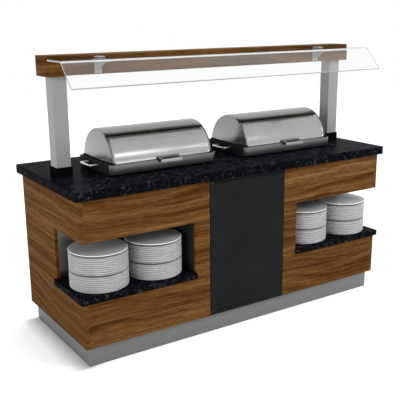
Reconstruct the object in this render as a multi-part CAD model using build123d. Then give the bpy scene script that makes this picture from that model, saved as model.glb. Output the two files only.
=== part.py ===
from build123d import *
from math import asin, cos, degrees, radians, sin, sqrt, tan
import os

# A buffet counter with two roll-top chafing dishes. Millimetres, +Z up, front towards -Y,
# origin at the middle of the footprint on the floor.

# Counter and carcass
COUNTER_LENGTH = 2000
COUNTER_DEPTH = 800
COUNTER_HEIGHT = 900
COUNTER_THICKNESS = 45
COUNTER_OVERHANG = 25
STONE_CORNER = 6
STONE_ARRIS = 3
BOARD = 18
PLINTH_HEIGHT = 105
PLINTH_SETBACK = 25
PLINTH_WALL = 20

# Corner niches
STILE_WIDTH = 90
NICHE_DEPTH = 333
NICHE_FLOOR = 373
NICHE_HEIGHT = 271
SLAB_THICKNESS = 30
SLAB_OVERHANG = 18
BATTEN = 25

# Centre door on two upright pins
DOOR_OPENING = 500
DOOR_SIDE_GAP = 5
DOOR_END_GAP = 3
DOOR_PIN_INSET = 12
DOOR_PIN_RADIUS = 4
DOOR_PIN_BITE = 12
DOOR_PIN_PLATE_LENGTH = 30
DOOR_PIN_PLATE_WIDTH = 16
CATCH_WIDTH = 16
CATCH_LENGTH = 60
CATCH_HEIGHT = 14
CATCH_INSET = 40

# Posts, canopy and glass guard
UPPER_Y = -10
POST_INSET = 97
POST_SIZE = 78
POST_WALL = 3
POST_CORNER = 4
FLANGE_WIDTH = 104
FLANGE_DEPTH = 160
FLANGE_THICKNESS = 8
BEARER_HEIGHT = 40
COLLAR_WALL = 4
COLLAR_HEIGHT = 48
BEAM_INSET = 25
BEAM_DEPTH = 136
BEAM_HEIGHT = 98
BEAM_BOTTOM = 1396
BEAM_WALL = 16
GLASS_END_INSET = 28
GLASS_DROP = 15
GLASS_THICKNESS = 8
GLASS_FLAT = 170
GLASS_SLOPE_RUN = 106
GLASS_SLOPE_FALL = 115
GLASS_BEND_RADIUS = 28
BRACKET_INSET = 290
BRACKET_WIDTH = 36
BRACKET_REACH = 128
BRACKET_HEIGHT = 68
BRACKET_PLATE = 5
GUSSET_RADIUS = 180
PAD_THICKNESS = 2
JAW_LENGTH = 50

# Chafing dishes
CHAFER_LENGTH = 606
MIDDLE_SHARE = 0.356
CHAFER_SHIFT = 10
FOOT_HEIGHT = 4
FOOT_SIZE = 24
FOOT_INSET = 40
BASE_HEIGHT = 54
BASE_WALL = 2
BASE_LEDGE_END = 19
BASE_LEDGE_SIDE = 15
BASE_CORNER = 35
BASE_BEVEL = 10
GRIP_REACH = 53
GRIP_WIDTH = 126
GRIP_THICKNESS = 10
GRIP_DROP = 11
GRIP_CORNER = 20
GRIP_BAR = 14
PAN_LENGTH = 530
PAN_WIDTH = 325
PAN_RIM = 11
PAN_LIFT = 1
PAN_WALL = 2
PAN_CORNER = 18
PAN_PLAY = 2
HEATER_LENGTH = 400
HEATER_WIDTH = 220
HEATER_THICKNESS = 3
GASKET_HEIGHT = 4
GASKET_WIDTH = 10
GASKET_INSET = 1
HOOD_RADIUS = 180
HOOD_WALL = 1.5
HOOD_EDGE = 6
HOOD_RIM = 11
HOOD_LEAN = 0.08
AXIS_DROP = 22
LIP_ANGLE = 60
COVER_GAP = 4.5
COVER_SIDE_GAP = 3
COVER_LEAN = 0.05
COVER_LIFT = 1
COVER_WALL = 1.5
COVER_OVERLAP = 8
BORDER_HEIGHT = 3
BORDER_WIDTH = 10
CHEEK_INSET = 1
CHEEK_DEPTH = 30
ARM_WIDTH = 24
ARM_END = 14
HINGE_PIN_RADIUS = 4
HINGE_PIN_END = 1.5
HINGE_BRACKET = 2
HINGE_BRACKET_WIDTH = 32
HINGE_BRACKET_RISE = 6
HINGE_BRACKET_LEG = 32
HANDLE_WIDTH = 128
HANDLE_SHIFT = 22
HANDLE_FINGER = 17
HANDLE_PLATE = 4
HANDLE_FALL = 12
HANDLE_DROP = 17
HANDLE_LIFT = 14
HANDLE_SLOT = 100

# Plates
PLATE_STACK_HEIGHT = 195
PLATE_STACK_GAP = 13
PLATE_END_GAP = 20
PLATE_EDGE_GAP = 15
PLATE_RIM = 28
PLATE_WELL_DEPTH = 10

# Clearances
RUNNING_GAP = 0.3
PIN_PLAY = 0.05
SLIP_PLAY = 0.5

SIDES = {"left": -1, "right": 1}

# Places worked out from the sizes above
CARCASS_X = COUNTER_LENGTH / 2 - COUNTER_OVERHANG
CARCASS_Y = COUNTER_DEPTH / 2 - COUNTER_OVERHANG
CARCASS_TOP = COUNTER_HEIGHT - COUNTER_THICKNESS
INNER_X = CARCASS_X - BOARD
INNER_Y = CARCASS_Y - BOARD
FLOOR_TOP = PLINTH_HEIGHT + BOARD
TOP_BOARD_BOTTOM = CARCASS_TOP - BOARD
NICHE_X = DOOR_OPENING / 2 + STILE_WIDTH
NICHE_BACK_Y = -CARCASS_Y + NICHE_DEPTH
NICHE_TOP = NICHE_FLOOR + NICHE_HEIGHT
SLAB_BOTTOM = NICHE_FLOOR - SLAB_THICKNESS
SLAB_X = CARCASS_X + SLAB_OVERHANG
SLAB_FRONT_Y = -CARCASS_Y - SLAB_OVERHANG

DOOR_X = DOOR_OPENING / 2 - DOOR_SIDE_GAP
DOOR_Y = -CARCASS_Y + BOARD / 2
DOOR_BOTTOM = FLOOR_TOP + DOOR_END_GAP
DOOR_TOP = TOP_BOARD_BOTTOM - DOOR_END_GAP
DOOR_PIN_X = -DOOR_X + DOOR_PIN_INSET

POST_X = COUNTER_LENGTH / 2 - POST_INSET
FLANGE_BOTTOM = TOP_BOARD_BOTTOM - FLANGE_THICKNESS
BEAM_X = COUNTER_LENGTH / 2 - BEAM_INSET
BEAM_FRONT = UPPER_Y - BEAM_DEPTH / 2
BEAM_TOP = BEAM_BOTTOM + BEAM_HEIGHT
BEAM_FLOOR_TOP = BEAM_BOTTOM + BEAM_WALL
GLASS_X = COUNTER_LENGTH / 2 - GLASS_END_INSET
GLASS_TOP = BEAM_TOP - GLASS_DROP
GLASS_BOTTOM = GLASS_TOP - GLASS_THICKNESS
BRACKET_X = COUNTER_LENGTH / 2 - BRACKET_INSET
BRACKET_TOP = GLASS_BOTTOM - PAD_THICKNESS
JAW_BOTTOM = GLASS_TOP + PAD_THICKNESS
JAW_Y = (BEAM_FRONT - BRACKET_PLATE - JAW_LENGTH, BEAM_FRONT - BRACKET_PLATE)

CHAFER_HALF = CHAFER_LENGTH / 2
BASE_X = CHAFER_HALF + BASE_LEDGE_END
BASE_Y = HOOD_RADIUS + BASE_LEDGE_SIDE
CHAFER_REACH = BASE_X + GRIP_REACH
CHAFER_ROOM = POST_X - POST_SIZE / 2 - RUNNING_GAP - COLLAR_WALL
CHAFER_X = CHAFER_REACH + MIDDLE_SHARE * (CHAFER_ROOM - 2 * CHAFER_REACH)
BASE_BOTTOM = COUNTER_HEIGHT + FOOT_HEIGHT
BASE_TOP = BASE_BOTTOM + BASE_HEIGHT
HOOD_BOTTOM = BASE_TOP + GASKET_HEIGHT
AXIS_Z = HOOD_BOTTOM - AXIS_DROP
HOOD_INNER_X = CHAFER_HALF - HOOD_WALL
HOOD_FOOT_Y = sqrt(HOOD_RADIUS**2 - AXIS_DROP**2)
BORDER_RADIUS = HOOD_RADIUS - HOOD_WALL - COVER_GAP
COVER_RADIUS = BORDER_RADIUS - BORDER_HEIGHT
COVER_INNER = COVER_RADIUS - COVER_WALL
COVER_X = CHAFER_HALF - HOOD_RIM - COVER_SIDE_GAP
COVER_BOTTOM = BASE_TOP + COVER_LIFT
COVER_LOW = degrees(asin((COVER_BOTTOM - AXIS_Z) / COVER_INNER))
COVER_HIGH = LIP_ANGLE + COVER_OVERLAP
COVER_MIDDLE = (COVER_LOW + COVER_HIGH) / 2
COVER_RISE = AXIS_Z + BORDER_RADIUS * sin(radians(COVER_HIGH)) - HOOD_BOTTOM
CHEEK_X = COVER_X - COVER_LEAN * COVER_RISE - CHEEK_INSET
HINGE_X = CHEEK_X + 1
PAN_BODY_LENGTH = PAN_LENGTH - 2 * PAN_RIM
PAN_BODY_WIDTH = PAN_WIDTH - 2 * PAN_RIM

SLAB_LENGTH = SLAB_X - NICHE_X
SLAB_DEPTH = NICHE_BACK_Y - SLAB_FRONT_Y
PLATE_RADIUS = min(
    (SLAB_LENGTH - 2 * PLATE_END_GAP - PLATE_STACK_GAP) / 4,
    (SLAB_DEPTH - 2 * PLATE_EDGE_GAP) / 2,
)
PLATE_MIDDLE_X = (NICHE_X + SLAB_X) / 2
PLATE_Y = SLAB_FRONT_Y + PLATE_EDGE_GAP + PLATE_RADIUS
PLATE_STEP = PLATE_RADIUS + PLATE_STACK_GAP / 2


# Shapes that many pieces share

def block(x, y, z):
    """Box between two planes along each axis, each pair given in any order."""
    sizes = [abs(b - a) for a, b in (x, y, z)]
    centre = [(a + b) / 2 for a, b in (x, y, z)]
    return Pos(*centre) * Box(*sizes)


def upright(radius, x, y, z):
    """Round bar along Z between two heights."""
    return Pos(x, y, (z[0] + z[1]) / 2) * Cylinder(radius, abs(z[1] - z[0]))


def rounded_block(length, width, corner, z):
    """Upright prism on a rounded rectangle, between two heights."""
    return Pos(0, 0, z[0]) * extrude(RectangleRounded(length, width, corner), z[1] - z[0])


def ring_face(inner, outer, low, high):
    """Piece of a flat ring about the roll axis, between two angles above the front horizontal."""
    rim = CenterArc((0, 0), outer, 180 - high, high - low)
    bore = CenterArc((0, 0), inner, 180 - high, high - low)
    return make_face([rim, bore, Line(rim @ 0, bore @ 0), Line(rim @ 1, bore @ 1)])


def along_axis(face, x):
    """A face drawn about the roll axis, run along that axis between two places."""
    return Pos(x[0], UPPER_Y, AXIS_Z) * extrude(Plane.YZ * face, x[1] - x[0])


# Carcass

def plinth_frame():
    x = CARCASS_X - PLINTH_SETBACK
    y = CARCASS_Y - PLINTH_SETBACK
    z = (0, PLINTH_HEIGHT)
    room = block((PLINTH_WALL - x, x - PLINTH_WALL), (PLINTH_WALL - y, y - PLINTH_WALL), z)
    return block((-x, x), (-y, y), z) - room


def base_board():
    return block((-INNER_X, INNER_X), (-INNER_Y, INNER_Y), (PLINTH_HEIGHT, FLOOR_TOP))


def end_panel(side):
    thickness = (side * INNER_X, side * CARCASS_X)
    panel = block(thickness, (-CARCASS_Y, CARCASS_Y), (PLINTH_HEIGHT, CARCASS_TOP))
    return panel - block(thickness, (-CARCASS_Y, NICHE_BACK_Y), (SLAB_BOTTOM, NICHE_TOP))


def front_panel(side):
    thickness = (-CARCASS_Y, -INNER_Y)
    panel = block((side * DOOR_OPENING / 2, side * INNER_X), thickness, (PLINTH_HEIGHT, CARCASS_TOP))
    return panel - block((side * NICHE_X, side * INNER_X), thickness, (SLAB_BOTTOM, NICHE_TOP))


def back_panel():
    return block((-INNER_X, INNER_X), (INNER_Y, CARCASS_Y), (PLINTH_HEIGHT, CARCASS_TOP))


def partition(side):
    x = (side * (NICHE_X - BOARD), side * NICHE_X)
    return block(x, (-INNER_Y, INNER_Y), (FLOOR_TOP, TOP_BOARD_BOTTOM))


def niche_back(side):
    y = (NICHE_BACK_Y, NICHE_BACK_Y + BOARD)
    return block((side * NICHE_X, side * INNER_X), y, (FLOOR_TOP, NICHE_TOP))


def niche_ceiling(side):
    y = (-INNER_Y, NICHE_BACK_Y + BOARD)
    return block((side * NICHE_X, side * INNER_X), y, (NICHE_TOP, NICHE_TOP + BOARD))


def niche_shelf(side):
    """Granite slab let into the corner of the carcass, its outer corner and top edges bevelled."""
    slab = block((side * NICHE_X, side * SLAB_X), (SLAB_FRONT_Y, NICHE_BACK_Y), (SLAB_BOTTOM, NICHE_FLOOR))
    outermost = -1 if side > 0 else 0
    front_corners = slab.edges().filter_by(Axis.Z).group_by(Axis.Y)[0]
    slab = chamfer(front_corners.sort_by(Axis.X)[outermost], STONE_CORNER)
    top = slab.faces().sort_by(Axis.Z)[-1].edges()
    inner = [top.sort_by(Axis.Y)[-1], top.filter_by(Axis.Y).sort_by(Axis.X)[-1 - outermost]]
    return chamfer([edge for edge in top if edge not in inner], STONE_ARRIS)


def shelf_battens():
    z = (SLAB_BOTTOM - BATTEN, SLAB_BOTTOM)
    battens = []
    for side in SIDES.values():
        inner = (side * NICHE_X, side * (NICHE_X + BATTEN))
        battens.append(block(inner, (-INNER_Y, NICHE_BACK_Y), z))
        battens.append(block((inner[1], side * INNER_X), (NICHE_BACK_Y - BATTEN, NICHE_BACK_Y), z))
    return Compound(battens)


def post_openings(z):
    """Square cut-outs that the posts pass through."""
    half = POST_SIZE / 2 + SLIP_PLAY
    y = (UPPER_Y - half, UPPER_Y + half)
    return [block((side * POST_X - half, side * POST_X + half), y, z) for side in SIDES.values()]


def counter_board():
    z = (TOP_BOARD_BOTTOM, CARCASS_TOP)
    return block((-INNER_X, INNER_X), (-INNER_Y, INNER_Y), z) - post_openings(z)


def counter_top():
    """Granite slab with bevelled corners and top edges."""
    z = (CARCASS_TOP, COUNTER_HEIGHT)
    stone = block((-COUNTER_LENGTH / 2, COUNTER_LENGTH / 2), (-COUNTER_DEPTH / 2, COUNTER_DEPTH / 2), z)
    stone = chamfer(stone.edges().filter_by(Axis.Z), STONE_CORNER)
    stone = chamfer(stone.faces().sort_by(Axis.Z)[-1].edges(), STONE_ARRIS)
    return stone - post_openings(z)


# Centre door

def door_rails():
    x = (-DOOR_OPENING / 2, DOOR_OPENING / 2)
    y = (-CARCASS_Y, -INNER_Y)
    sill = block(x, y, (PLINTH_HEIGHT, FLOOR_TOP))
    head = block(x, y, (TOP_BOARD_BOTTOM, CARCASS_TOP))
    return Compound([sill, head])


def door():
    """Plain black panel, bored at its two ends for the pivot pins."""
    panel = block((-DOOR_X, DOOR_X), (-CARCASS_Y, -INNER_Y), (DOOR_BOTTOM, DOOR_TOP))
    bite = DOOR_PIN_BITE + RUNNING_GAP
    for z in ((DOOR_BOTTOM, DOOR_BOTTOM + bite), (DOOR_TOP - bite, DOOR_TOP)):
        panel -= upright(DOOR_PIN_RADIUS + PIN_PLAY, DOOR_PIN_X, DOOR_Y, z)
    return panel


def door_pivot(seat, way):
    """Small plate on a rail with a pin that points into the door, up or down."""
    x = (DOOR_PIN_X - DOOR_PIN_PLATE_LENGTH / 2, DOOR_PIN_X + DOOR_PIN_PLATE_LENGTH / 2)
    y = (DOOR_Y - DOOR_PIN_PLATE_WIDTH / 2, DOOR_Y + DOOR_PIN_PLATE_WIDTH / 2)
    face = seat + way * (DOOR_END_GAP - RUNNING_GAP)
    tip = seat + way * (DOOR_END_GAP + DOOR_PIN_BITE)
    return block(x, y, (seat, face)) + upright(DOOR_PIN_RADIUS, DOOR_PIN_X, DOOR_Y, (face, tip))


def door_pivots():
    return Compound([door_pivot(FLOOR_TOP, 1), door_pivot(TOP_BOARD_BOTTOM, -1)])


def door_catch():
    x = DOOR_X - CATCH_INSET
    y = -INNER_Y + RUNNING_GAP
    z = (TOP_BOARD_BOTTOM - CATCH_HEIGHT, TOP_BOARD_BOTTOM)
    return block((x, x + CATCH_WIDTH), (y, y + CATCH_LENGTH), z)


# Posts and canopy

def post(side):
    """Square tube from a flange under the counter board up into the canopy beam."""
    z = (FLANGE_BOTTOM, BEAM_TOP - BEAM_WALL)
    bore = POST_SIZE / 2 - POST_WALL
    tube = rounded_block(POST_SIZE, POST_SIZE, POST_CORNER, z)
    flange_x = (-FLANGE_WIDTH / 2, FLANGE_WIDTH / 2)
    flange = block(flange_x, (-FLANGE_DEPTH / 2, FLANGE_DEPTH / 2), (FLANGE_BOTTOM, TOP_BOARD_BOTTOM))
    return Pos(side * POST_X, UPPER_Y, 0) * (tube + flange - block((-bore, bore), (-bore, bore), z))


def post_bearers():
    """Wood blocks glued inside the end panels, which carry the post flanges."""
    y = (UPPER_Y - FLANGE_DEPTH / 2, UPPER_Y + FLANGE_DEPTH / 2)
    z = (FLANGE_BOTTOM - BEARER_HEIGHT, FLANGE_BOTTOM)
    inner = POST_X - FLANGE_WIDTH / 2
    return Compound([block((side * inner, side * INNER_X), y, z) for side in SIDES.values()])


def post_collars():
    z = (COUNTER_HEIGHT, COUNTER_HEIGHT + COLLAR_HEIGHT)
    inner = POST_SIZE / 2 + RUNNING_GAP
    outer = inner + COLLAR_WALL
    ring = block((-outer, outer), (-outer, outer), z) - block((-inner, inner), (-inner, inner), z)
    return Compound([Pos(side * POST_X, UPPER_Y, 0) * ring for side in SIDES.values()])


def beam_room(z):
    """The space inside the beam's walls, between two heights."""
    x = BEAM_X - BEAM_WALL
    y = BEAM_DEPTH / 2 - BEAM_WALL
    return block((-x, x), (UPPER_Y - y, UPPER_Y + y), z)


def canopy_beam():
    """Wood box open below, slotted in front for the glass brackets."""
    outer = block((-BEAM_X, BEAM_X), (BEAM_FRONT, UPPER_Y + BEAM_DEPTH / 2), (BEAM_BOTTOM, BEAM_TOP))
    slots = [bracket_tongue(side, SLIP_PLAY) for side in SIDES.values()]
    return outer - beam_room((BEAM_BOTTOM, BEAM_TOP - BEAM_WALL)) - slots


def canopy_floor():
    z = (BEAM_BOTTOM, BEAM_FLOOR_TOP)
    return beam_room(z) - post_openings(z)


def bracket_tongue(side, play):
    """Stretch of a bracket's arm inside the beam's front wall, or with some play the slot for it."""
    half = BRACKET_WIDTH / 2 + play
    x = (side * BRACKET_X - half, side * BRACKET_X + half)
    z = (BRACKET_TOP - BRACKET_PLATE - play, BRACKET_TOP + play)
    return block(x, (BEAM_FRONT, BEAM_FRONT + BEAM_WALL), z)


def glass_bracket(side):
    """Plate on the beam with a tongue, an arm under the glass, a jaw over it and a hollow-curved gusset."""
    x = (side * BRACKET_X - BRACKET_WIDTH / 2, side * BRACKET_X + BRACKET_WIDTH / 2)
    foot = BRACKET_TOP - BRACKET_HEIGHT
    plate_front = BEAM_FRONT - BRACKET_PLATE
    arm_bottom = BRACKET_TOP - BRACKET_PLATE
    tip = BEAM_FRONT - BRACKET_REACH
    plate = block(x, (plate_front, BEAM_FRONT), (foot, JAW_BOTTOM + BRACKET_PLATE))
    arm = block(x, (tip, plate_front), (arm_bottom, BRACKET_TOP))
    jaw = block(x, JAW_Y, (JAW_BOTTOM, JAW_BOTTOM + BRACKET_PLATE))
    curve = RadiusArc((plate_front, foot), (tip, arm_bottom), -GUSSET_RADIUS)
    corner = (plate_front, arm_bottom)
    web = make_face([curve, Line(curve @ 1, corner), Line(corner, curve @ 0)])
    gusset = Pos(side * BRACKET_X, 0, 0) * extrude(Plane.YZ * web, BRACKET_PLATE / 2, both=True)
    return plate + arm + jaw + gusset + bracket_tongue(side, 0)


def glass_pads():
    """Rubber strips between the glass and the brackets, one under it and one over it at each bracket."""
    half = BRACKET_WIDTH / 2
    pads = []
    for side in SIDES.values():
        x = (side * BRACKET_X - half, side * BRACKET_X + half)
        pads.append(block(x, JAW_Y, (BRACKET_TOP, GLASS_BOTTOM)))
        pads.append(block(x, JAW_Y, (GLASS_TOP, JAW_BOTTOM)))
    return Compound(pads)


def glass_guard():
    """One bent sheet: flat from the beam, then sloping down in front of the dishes."""
    middle = GLASS_TOP - GLASS_THICKNESS / 2
    bend = BEAM_FRONT - GLASS_FLAT
    route = FilletPolyline(
        (BEAM_FRONT - BRACKET_PLATE - RUNNING_GAP, middle),
        (bend, middle),
        (bend - GLASS_SLOPE_RUN, middle - GLASS_SLOPE_FALL),
        radius=GLASS_BEND_RADIUS,
    )
    return extrude(Plane.YZ * trace(route, GLASS_THICKNESS), GLASS_X, both=True)


# Chafing dishes, each drawn about the middle of the counter and then set to its side

def on_line(shape):
    """Puts a shape drawn about the origin on the line that posts and dishes share."""
    return Pos(0, UPPER_Y, 0) * shape


def between_ends(foot, lean, z):
    """Prism across the dish whose two ends lean in with height; foot is its half length at the hood's lower edge."""
    low, high = [foot - lean * (level - HOOD_BOTTOM) for level in z]
    outline = Polyline((-low, z[0]), (low, z[0]), (high, z[1]), (-high, z[1]), close=True)
    return on_line(extrude(Plane.XZ * make_face(outline), 2 * HOOD_RADIUS, both=True))


def tray(inset, bevel, z):
    """Upright prism on the base's outline, drawn in by an inset, with a bevelled lower edge."""
    body = rounded_block(2 * (BASE_X - inset), 2 * (BASE_Y - inset), BASE_CORNER - inset, z)
    return chamfer(body.edges().group_by(Axis.Z)[0], bevel)


def chafer_base():
    """Water tray: flat floor, bevelled lower edge, a rim that carries the food pan, and a grip at each end."""
    outer = tray(0, BASE_BEVEL, (BASE_BOTTOM, BASE_TOP))
    room = tray(BASE_WALL, BASE_BEVEL - BASE_WALL / 2, (BASE_BOTTOM + BASE_WALL, BASE_TOP - BASE_WALL))
    mouth = rounded_block(
        PAN_BODY_LENGTH + 2 * PAN_PLAY,
        PAN_BODY_WIDTH + 2 * PAN_PLAY,
        PAN_CORNER + PAN_PLAY,
        (BASE_TOP - BASE_WALL, BASE_TOP),
    )
    return on_line(outer + grips() - room - mouth - arm_slots())


def grips():
    """Flat carrying grips, one at each end of the base, each with a hand slot."""
    top = BASE_TOP - GRIP_DROP
    z = (top - GRIP_THICKNESS, top)
    hand = GRIP_WIDTH / 2 - GRIP_BAR
    plate = rounded_block(2 * CHAFER_REACH, GRIP_WIDTH, GRIP_CORNER, z)
    slots = [
        block((side * (BASE_X + GRIP_BAR), side * (CHAFER_REACH - GRIP_BAR)), (-hand, hand), z)
        for side in SIDES.values()
    ]
    return plate - slots


def arm_slots():
    """Slots in the base rim that the cover's two arms swing through."""
    mid = radians(COVER_MIDDLE)
    reach = (BASE_TOP - AXIS_Z) / tan(mid) + ARM_WIDTH / 2 / sin(mid) + COVER_GAP
    inner = CHEEK_X - COVER_WALL - HINGE_PIN_END - SLIP_PLAY
    outer = HINGE_X + HINGE_BRACKET + SLIP_PLAY
    z = (BASE_TOP - BASE_WALL, BASE_TOP)
    return [block((side * inner, side * outer), (-reach, reach), z) for side in SIDES.values()]


def chafer_feet():
    """Rubber pads under the corners of the base."""
    half = FOOT_SIZE / 2
    z = (COUNTER_HEIGHT, BASE_BOTTOM)
    x = BASE_X - FOOT_INSET
    y = BASE_Y - FOOT_INSET
    foot = block((-half, half), (-half, half), z)
    return [on_line(Pos(i * x, j * y, 0) * foot) for i in (-1, 1) for j in (-1, 1)]


def heater_plate():
    half = HEATER_LENGTH / 2
    y = (UPPER_Y - HEATER_WIDTH / 2, UPPER_Y + HEATER_WIDTH / 2)
    return block((-half, half), y, (BASE_BOTTOM - HEATER_THICKNESS, BASE_BOTTOM))


def food_pan():
    """Full-size pan that hangs by its rim in the base, just clear of the tray's floor."""
    top = BASE_TOP + PAN_WALL
    floor = BASE_BOTTOM + BASE_WALL + PAN_LIFT + PAN_WALL
    trim = 2 * PAN_WALL
    rim = rounded_block(PAN_LENGTH, PAN_WIDTH, PAN_CORNER, (BASE_TOP, top))
    body = rounded_block(PAN_BODY_LENGTH, PAN_BODY_WIDTH, PAN_CORNER, (floor - PAN_WALL, BASE_TOP))
    room = rounded_block(PAN_BODY_LENGTH - trim, PAN_BODY_WIDTH - trim, PAN_CORNER - PAN_WALL, (floor, top))
    return on_line(rim + body - room)


def hood_gasket():
    """Black strip under the hood's back and ends; it leaves the front free for the cover."""
    z = (BASE_TOP, HOOD_BOTTOM)
    x = CHAFER_HALF - GASKET_INSET
    y = HOOD_FOOT_Y - GASKET_INSET
    outer = block((-x, x), (-y, y), z)
    outer = chamfer(outer.edges().filter_by(Axis.Z), HOOD_EDGE - GASKET_INSET)
    inner = block((GASKET_WIDTH - x, x - GASKET_WIDTH), (-y, y - GASKET_WIDTH), z)
    return on_line(outer - inner)


def dome(radius, foot, edge, floor):
    """Half cylinder about the roll axis, cut flat at the floor; its ends lean in and have bevelled edges."""
    body = along_axis(Circle(radius), (-BASE_X, BASE_X))
    body &= between_ends(foot, HOOD_LEAN, (floor, AXIS_Z + 2 * radius))
    return chamfer(body.edges().filter_by(GeomType.ELLIPSE), edge)


def hood():
    """Fixed rear hood with leaning D-shaped ends, open in front where the cover rolls."""
    shell = dome(HOOD_RADIUS, CHAFER_HALF, HOOD_EDGE, HOOD_BOTTOM)
    shell -= dome(HOOD_RADIUS - HOOD_WALL, HOOD_INNER_X, HOOD_EDGE - HOOD_WALL / 2, BASE_TOP)
    opening = along_axis(ring_face(COVER_INNER, HOOD_RADIUS + HOOD_WALL, 0, LIP_ANGLE), (-BASE_X, BASE_X))
    return shell - (opening & between_ends(CHAFER_HALF - HOOD_RIM, HOOD_LEAN, (AXIS_Z, AXIS_Z + HOOD_RADIUS)))


def roll_cover():
    """Curved sheet with a raised border; inside each end a cheek whose arm reaches down to the roll axis."""
    margin = degrees(BORDER_WIDTH / COVER_RADIUS)
    rise = (BASE_TOP, AXIS_Z + HOOD_RADIUS)
    sheet = along_axis(ring_face(COVER_INNER, BORDER_RADIUS, COVER_LOW, COVER_HIGH), (-COVER_X, COVER_X))
    field = along_axis(ring_face(COVER_RADIUS, HOOD_RADIUS, COVER_LOW + margin, LIP_ANGLE - margin), (-COVER_X, COVER_X))
    sheet &= between_ends(COVER_X, COVER_LEAN, rise)
    sheet -= field & between_ends(COVER_X - BORDER_WIDTH, COVER_LEAN, rise)
    cheek_inner = COVER_RADIUS - CHEEK_DEPTH
    cheek_low = degrees(asin((COVER_BOTTOM - AXIS_Z) / cheek_inner))
    arm = Pos((COVER_INNER - ARM_END) / 2, 0) * Rectangle(COVER_INNER + ARM_END, ARM_WIDTH)
    arm = Rot(0, 0, 180 - COVER_MIDDLE) * arm
    cheek = ring_face(cheek_inner, COVER_RADIUS, cheek_low, COVER_HIGH) + arm
    cheek -= Circle(HINGE_PIN_RADIUS + PIN_PLAY)
    inner = CHEEK_X - COVER_WALL
    return sheet + along_axis(cheek, (inner, CHEEK_X)) + along_axis(cheek, (-CHEEK_X, -inner))


def cover_handle():
    """Bent strip that slopes out from the cover's lower edge to a front lip, with a finger slot behind the lip."""
    x = (HANDLE_SHIFT - HANDLE_WIDTH / 2, HANDLE_SHIFT + HANDLE_WIDTH / 2)
    slot_x = (HANDLE_SHIFT - HANDLE_SLOT / 2, HANDLE_SHIFT + HANDLE_SLOT / 2)
    root = COVER_RADIUS
    lip = BASE_Y + HANDLE_FINGER
    front = lip + HANDLE_PLATE
    top = COVER_BOTTOM + HANDLE_LIFT - AXIS_Z
    crest = top - HANDLE_FALL
    toe = crest - HANDLE_DROP
    under = crest + HANDLE_FALL * (front - lip) / (front - root) - HANDLE_PLATE
    outline = Polyline(
        (-root, top),
        (-front, crest),
        (-front, toe),
        (-lip, toe),
        (-lip, under),
        (-root, top - HANDLE_PLATE),
        close=True,
    )
    strip = along_axis(make_face(outline), x)
    slot_y = (UPPER_Y - lip + HANDLE_PLATE, UPPER_Y - BASE_Y + HANDLE_PLATE / 2)
    strip -= block(slot_x, slot_y, (AXIS_Z + toe, AXIS_Z + top))
    return strip - along_axis(Circle(BORDER_RADIUS), x)


def cover_pivots():
    """Z-shaped brackets that hang from the hood's ends down into the base, each with a pin for the cover."""
    y = (UPPER_Y - HINGE_BRACKET_WIDTH / 2, UPPER_Y + HINGE_BRACKET_WIDTH / 2)
    bend = HOOD_BOTTOM + HINGE_BRACKET_RISE
    leg_z = (bend - HINGE_BRACKET, bend + HINGE_BRACKET_LEG)
    leaning = between_ends(HOOD_INNER_X, HOOD_LEAN, leg_z)
    leaning -= between_ends(HOOD_INNER_X - HINGE_BRACKET, HOOD_LEAN, leg_z)
    pivots = []
    for side in SIDES.values():
        leg = block((0, side * CHAFER_HALF), y, leg_z) & leaning
        step = block((side * HINGE_X, side * (HOOD_INNER_X - HINGE_BRACKET / 2)), y, (bend - HINGE_BRACKET, bend))
        drop = block((side * HINGE_X, side * (HINGE_X + HINGE_BRACKET)), y, (AXIS_Z - ARM_END, bend))
        tip = side * (CHEEK_X - COVER_WALL - HINGE_PIN_END)
        pin = along_axis(Circle(HINGE_PIN_RADIUS), sorted((tip, side * HINGE_X)))
        pivots.append(leg + step + drop + pin)
    return pivots


# Plates

def plate_stack():
    """Nested plates as one turned solid, with the top plate's rim and well."""
    outline = Polyline(
        (0, 0),
        (PLATE_RADIUS, 0),
        (PLATE_RADIUS, PLATE_STACK_HEIGHT),
        (PLATE_RADIUS - PLATE_RIM, PLATE_STACK_HEIGHT),
        (PLATE_RADIUS - PLATE_RIM, PLATE_STACK_HEIGHT - PLATE_WELL_DEPTH),
        (0, PLATE_STACK_HEIGHT - PLATE_WELL_DEPTH),
        close=True,
    )
    return revolve(Plane.XZ * make_face(outline), Axis.Z)


def plates(side, step):
    x = side * (PLATE_MIDDLE_X + step * PLATE_STEP)
    return Pos(x, PLATE_Y, NICHE_FLOOR + RUNNING_GAP) * plate_stack()


# The whole station, one entry to a node

def at_side(side, shape):
    return Pos(side * CHAFER_X + CHAFER_SHIFT, 0, 0) * shape


def both_sides(shapes):
    return Compound([at_side(side, shape) for side in SIDES.values() for shape in shapes])


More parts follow.
